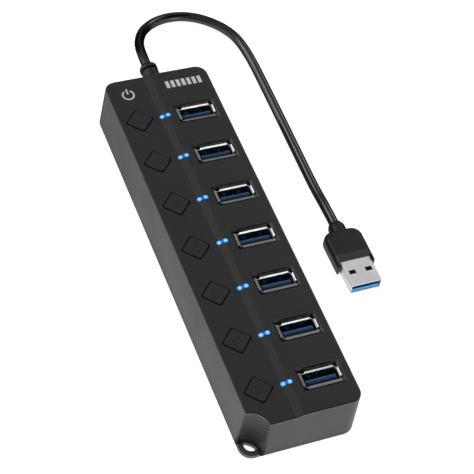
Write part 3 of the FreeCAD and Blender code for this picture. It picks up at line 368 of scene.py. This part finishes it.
def make_window_material():
    """A clear blue light pipe, lit from below by two diodes that show as pale spots near its ends."""
    nodes = Nodes("lit_window")
    along = nodes.math("ABSOLUTE", nodes.math("SUBTRACT", nodes.axes()[0], LIGHT_COLUMN))
    across = nodes.across_row(LIGHT_SHIFT)
    reach = nodes.hypotenuse(nodes.math("SUBTRACT", along, SPOT_OFFSET), across)
    glow = nodes.spread(reach, 1.0, 0.0, 0.4 * MM, 1.05 * MM)
    core = nodes.spread(reach, 1.0, 0.0, 0.0, 0.6 * MM)
    waist = nodes.spread(along, 0.0, 0.25 * MM, 0.2 * MM, 1.2 * MM)
    sideways = nodes.math("SUBTRACT", nodes.math("ABSOLUTE", across), waist)
    rim = nodes.spread(sideways, 0.0, 1.0, 0.4 * MM, 0.85 * MM)
    flicker = nodes.spread(nodes.noise(900.0, 2.0), 0.85, 1.1)
    body = nodes.mix(rim, (0.0, 0.09, 0.58, 1.0), (0.0, 0.015, 0.16, 1.0))
    halo = nodes.mix(glow, body, (0.10, 0.56, 0.95, 1.0))
    light = nodes.mix(core, halo, (0.56, 0.95, 1.0, 1.0))
    nodes.set(Base_Color=nodes.mix(glow, (0.0, 0.01, 0.08, 1.0), (0.02, 0.12, 0.2, 1.0)), Specular_IOR_Level=0.25)
    nodes.set(Emission_Color=light, Emission_Strength=flicker)
    nodes.set(Roughness=nodes.spread(nodes.noise(1500.0), 0.12, 0.22))
    nodes.bump(nodes.noise(2500.0), 0.01 * MM, 0.3)
    return nodes.material


def make_carrier_material():
    """The plug's carrier: bright blue at its front, with painted shade that turns it dark blue farther in, inside
    the shell.
    """
    nodes = Nodes("plug_carrier_blue")
    # Painted shade: the blue goes dark a little way behind the nose, where the shell closes over it.
    painted_shade_inward = nodes.spread(nodes.axes()[1], 0.0, 1.0, PLUG_NOSE, PLUG_NOSE + 0.9 * MM)
    specks = nodes.spread(nodes.noise(2200.0, 2.0), 0.0, 1.0)
    front = nodes.mix(specks, (0.02, 0.42, 0.93, 1.0), (0.04, 0.48, 0.96, 1.0))
    nodes.set(Base_Color=nodes.mix(painted_shade_inward, front, (0.0, 0.02, 0.16, 1.0)))
    nodes.set(Roughness=nodes.spread(specks, 0.3, 0.4, 0.0, 1.0))
    nodes.bump(specks, 0.01 * MM, 0.4)
    return nodes.material


def make_board_material():
    """Green solder mask over copper traces."""
    nodes = Nodes("solder_mask")
    traces = nodes.add("ShaderNodeTexBrick", offset=0.37, squash=0.6)
    traces.inputs["Scale"].default_value = 260.0
    traces.inputs["Mortar Size"].default_value = 0.06
    nodes.put(traces.inputs["Vector"], nodes.place)
    mask = nodes.mix(traces.outputs["Fac"], (0.008, 0.06, 0.02, 1.0), (0.02, 0.12, 0.045, 1.0))
    nodes.set(Base_Color=mask)
    nodes.set(Roughness=nodes.spread(nodes.noise(300.0, 3.0), 0.25, 0.4))
    nodes.bump(traces.outputs["Fac"], 0.03 * MM, 0.5)
    return nodes.material


def make_cord_material():
    """Glossy black PVC, with the specks and waves of an extruded sheath; it hardly shines at grazing angles."""
    nodes = Nodes("cord_pvc")
    specks = nodes.noise(2600.0, 2.0)
    waves = nodes.noise(160.0, 2.0)
    nodes.set(Base_Color=nodes.mix(nodes.spread(waves, 0.0, 1.0), grey(0.0016), grey(0.003)))
    nodes.set(Roughness=nodes.spread(specks, 0.14, 0.2))
    facing = nodes.add("ShaderNodeLayerWeight").outputs["Facing"]
    nodes.set(Specular_IOR_Level=nodes.spread(facing, 0.65, 0.02, 0.32, 0.6))
    nodes.bump(nodes.math("ADD", specks, waves), 0.006 * MM, 0.3)
    return nodes.material


def make_ink_material():
    """Pale printed ink."""
    nodes = Nodes("pale_ink")
    specks = nodes.noise(3000.0, 3.0)
    nodes.set(Base_Color=nodes.mix(nodes.spread(specks, 0.0, 1.0), grey(0.8), grey(0.88)))
    nodes.set(Roughness=nodes.spread(specks, 0.5, 0.65))
    nodes.bump(specks, 0.008 * MM, 0.4)
    return nodes.material


MATERIALS = {
    "casing": make_casing_material(),
    "casing_plate": moulded("plate_plastic", grey(0.068), grey(0.1), rough=(0.42, 0.52)),
    "foot_rubber": moulded("foot_rubber", grey(0.01), grey(0.03), rough=(0.7, 0.85), grain=2600.0),
    "screw_steel": metal("screw_zinc", grey(0.18), grey(0.1), rough=(0.25, 0.4)),
    "board": make_board_material(),
    "diode": moulded("diode_resin", grey(0.7, (1.0, 0.98, 0.8)), grey(0.8), rough=(0.2, 0.3)),
    "chip": moulded("chip_epoxy", grey(0.012), grey(0.03), rough=(0.5, 0.6)),
    "crystal_can": metal("crystal_can_steel", grey(0.6), grey(0.45)),
    "ceramic": moulded("capacitor_ceramic", (0.25, 0.17, 0.1, 1.0), grey(0.35), rough=(0.4, 0.5)),
    "header_plastic": moulded("header_nylon", grey(0.65, (1.0, 0.98, 0.92)), grey(0.75), rough=(0.4, 0.5)),
    "wire_sheath": moulded("wire_pvc", grey(0.1), grey(0.2), rough=(0.35, 0.45)),
    "soft_grip": make_grip_material(),
    "port_steel": metal("port_nickel", grey(0.54, (1.0, 1.0, 1.02)), grey(0.46), rough=(0.24, 0.32), drawn=0.1),
    "port_blue": make_tongue_material(),
    "contact_gold": metal("contact_gold", (0.8, 0.55, 0.2, 1.0), (0.6, 0.4, 0.14, 1.0)),
    "switch_plastic": moulded("switch_plastic", grey(0.02), grey(0.05)),
    "key_plastic": moulded("key_plastic", grey(0.0115, (1.0, 1.01, 1.04)), grey(0.04), rough=(0.38, 0.48)),
    "light_window": make_window_material(),
    "plug_steel": metal("plug_nickel", grey(0.95, (1.0, 0.99, 1.01)), grey(0.87), rough=(0.46, 0.58)),
    "plug_blue": make_carrier_material(),
}
cord.data.materials.append(make_cord_material())
slot_of = {part["node"]: part["material_slot"] for part in frame["record"]["subparts"]}
for node, thing in frame["nodes"].items():
    if node != "cord":
        thing.data.materials.clear()
        thing.data.materials.append(MATERIALS[slot_of[node]])


# Printed pictograms ----------------------------------------------------------------------------------------------

INK = make_ink_material()
PRINT_THICKNESS = 0.03 * MM
# In millimetres: the middles of the two signs, the power sign's sizes, and the slots' pitch and sizes.
POWER_SIGN = (-12.5, 69.5)
SLOTS_START = (3.2, 70.4)
RING_RADIUS = 2.1
STROKE = 0.6
SLOT_PITCH = 2.1
SLOT_SIZE = (1.35, 3.4)


def make_print(name, shapes, deck):
    """Raised ink: closed outlines, each a list of points in millimetres, extruded a little above the deck."""
    mesh = bmesh.new()
    for points in shapes:
        corners = [mesh.verts.new((x * MM, y * MM, deck)) for x, y in points]
        mesh.faces.new(corners)
    bmesh.ops.recalc_face_normals(mesh, faces=mesh.faces)
    for face in mesh.faces:
        if face.normal.z < 0:
            face.normal_flip()
    raised = bmesh.ops.extrude_face_region(mesh, geom=mesh.faces[:])
    tops = [item for item in raised["geom"] if isinstance(item, bmesh.types.BMVert)]
    bmesh.ops.translate(mesh, verts=tops, vec=(0, 0, PRINT_THICKNESS))
    bmesh.ops.recalc_face_normals(mesh, faces=mesh.faces)
    data = bpy.data.meshes.new(name)
    mesh.to_mesh(data)
    mesh.free()
    thing = bpy.data.objects.new(name, data)
    scene.collection.objects.link(thing)
    thing.data.materials.append(INK)
    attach(thing, "hub")


def ring_strips(x, y, radius, stroke, start, end, steps=40):
    """A ring or part of one, as short quads, angles in degrees."""
    inner, outer = radius - stroke / 2, radius + stroke / 2
    angles = [math.radians(start + (end - start) * i / steps) for i in range(steps + 1)]
    strips = []
    for first, second in zip(angles, angles[1:]):
        strips.append(
            [
                (x + inner * math.cos(first), y + inner * math.sin(first)),
                (x + outer * math.cos(first), y + outer * math.sin(first)),
                (x + outer * math.cos(second), y + outer * math.sin(second)),
                (x + inner * math.cos(second), y + inner * math.sin(second)),
            ]
        )
    return strips


def bar(x, y, width, height):
    """A rectangle about a middle."""
    return [
        (x - width / 2, y - height / 2),
        (x + width / 2, y - height / 2),
        (x + width / 2, y + height / 2),
        (x - width / 2, y + height / 2),
    ]


ring = ring_strips(*POWER_SIGN, RING_RADIUS, STROKE, 122, 418)
stem = bar(POWER_SIGN[0], POWER_SIGN[1] + 1.7, STROKE, 2.6)
make_print("switch_column_sign", ring + [stem], DECK_LOW)
slots = [bar(SLOTS_START[0] + SLOT_PITCH * i, SLOTS_START[1], *SLOT_SIZE) for i in range(ROWS)]
make_print("socket_row_sign", slots, DECK_HIGH)


# Stage, light and finish -----------------------------------------------------------------------------------------


FLOOR_HALF = 6.0
FLOOR_DROP = 0.1 * MM


def make_floor():
    """A plain pale floor that glows a little, as paper under soft light does, and doesn't show in reflections."""
    data = bpy.data.meshes.new("floor")
    corners = [(x * FLOOR_HALF, y * FLOOR_HALF, 0) for x, y in ((-1, -1), (1, -1), (1, 1), (-1, 1))]
    data.from_pydata(corners, [], [(0, 1, 2, 3)])
    floor = bpy.data.objects.new("floor", data)
    scene.collection.objects.link(floor)
    floor.location.z = -FLOOR_DROP
    nodes = Nodes("pale_floor")
    nodes.set(Base_Color=grey(0.6), Roughness=0.9, Specular_IOR_Level=0.0)
    nodes.set(Emission_Color=grey(1.0), Emission_Strength=0.9)
    data.materials.append(nodes.material)
    floor.visible_glossy = False


# Where the studio's front is, from the hub.
FRONT = (-0.45, -0.89, 0.0)
# Soft boxes of the studio: direction from the hub, half-widths in degrees where the box is full and where it ends,
# and brightness. A black card has a brightness below 0.
SOFT_BOXES = [
    ((-0.47, 0.53, 0.70), 4, 12, 4.2),
    ((0.61, 0.53, 0.59), 3, 11, 4.0),
    ((-0.15, 0.53, 0.83), 3, 10, 0.45),
    ((0.32, -0.94, 0.08), 7, 15, 2.6),
    ((-0.84, 0.53, 0.03), 5, 10, 1.6),
    ((0.32, 0.94, 0.13), 7, 15, 0.33),
    ((0.80, 0.53, 0.28), 5, 11, 0.12),
    ((0.33, -0.32, 0.89), 18, 26, -0.5),
    ((-0.71, 0.53, 0.45), 5, 12, 3.0),
    ((-0.75, 0.53, -0.40), 12, 20, -0.85),
]


def make_sky():
    """A studio dome: a dim ceiling with soft boxes, and walls that are bright in front and dark behind the hub."""
    world = bpy.data.worlds.new("studio")
    scene.world = world
    nodes = Nodes("studio", world, "Background", "Generated")
    x, _, z = nodes.axes()
    frontness = nodes.towards(FRONT)
    back = nodes.spread(frontness, 0.05, 0.95, -0.55, -0.38)
    walls = nodes.math("ADD", back, nodes.spread(frontness, 0.0, 0.3, -0.25, 0.75))
    ceiling = nodes.spread(x, 0.46, 0.29, -0.4, 0.6)
    height = nodes.spread(z, 0.0, 1.0, 0.25, 0.5)
    room = nodes.math("ADD", walls, nodes.product(height, nodes.math("SUBTRACT", ceiling, walls)))
    for direction, full, end, brightness in SOFT_BOXES:
        cosines = math.cos(math.radians(end)), math.cos(math.radians(full))
        room = nodes.math("ADD", room, nodes.spread(nodes.towards(direction), 0.0, brightness, *cosines))
    nodes.set(Color=nodes.math("MAXIMUM", room, 0.0), Strength=1.0)


make_floor()
make_sky()
